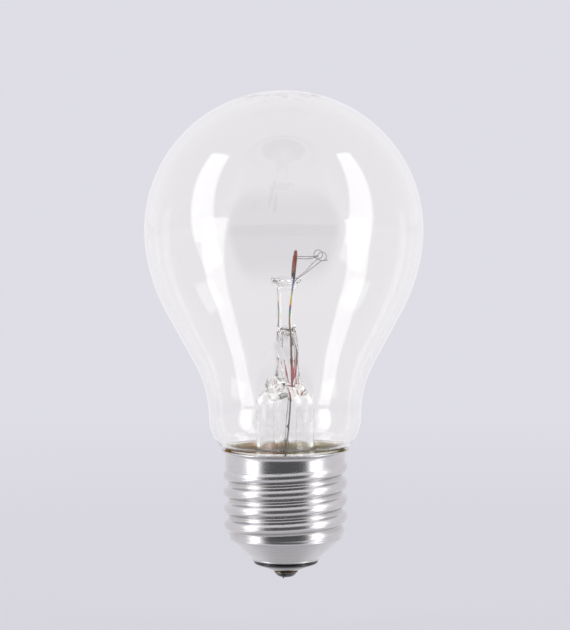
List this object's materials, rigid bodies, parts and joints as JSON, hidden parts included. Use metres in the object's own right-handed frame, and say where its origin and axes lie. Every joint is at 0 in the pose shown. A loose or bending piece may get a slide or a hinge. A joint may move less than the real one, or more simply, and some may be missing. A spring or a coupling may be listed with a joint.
{
  "type": "screw-cap signal lamp bulb",
  "caption": "Clear pear-shaped filament lamp with a glass stem, hooked lead wires, a short coiled filament on two loop supports and a threaded metal screw cap.",
  "frame": {"origin": "centre of the flat at the tip of the centre contact, on the lamp's axis", "axes": "+Z along the lamp's axis from the centre contact to the dome; -Y towards the side from which the flat press is seen edge on; +X towards the filament"},
  "size_m": [0.06, 0.06, 0.1053],
  "materials": {
    "clear_glass": "clear polished",
    "stem_glass": "clear flame-worked",
    "tinted_wire": "heat-tinted drawn wire",
    "red_seal_wire": "red oxide sheath",
    "grey_wire": "dull drawn wire",
    "fine_wire": "drawn refractory wire",
    "filament_wire": "grey coiled wire",
    "cap_aluminium": "satin rolled sheet",
    "black_glass": "glossy black moulded glass",
    "contact_brass": "tarnished",
    "solder": "dull grey solder",
    "cement": "matt yellow-brown baked cement"
  },
  "bodies": {
    "root": {"glass_bulb": "clear_glass", "stem_flare": "stem_glass", "exhaust_tube": "stem_glass", "glass_rod": "stem_glass", "inner_lead_front": "tinted_wire", "inner_lead_rear": "tinted_wire", "seal_wire_front": "red_seal_wire", "seal_wire_rear": "red_seal_wire", "outer_lead_front": "grey_wire", "outer_lead_rear": "grey_wire", "support_wire_front": "fine_wire", "support_wire_rear": "fine_wire", "filament": "filament_wire", "cap_shell": "cap_aluminium", "cap_insulator": "black_glass", "contact_plate": "contact_brass", "contact_solder": "solder", "side_solder": "solder", "capping_cement": "cement"}
  },
  "joints": []
}
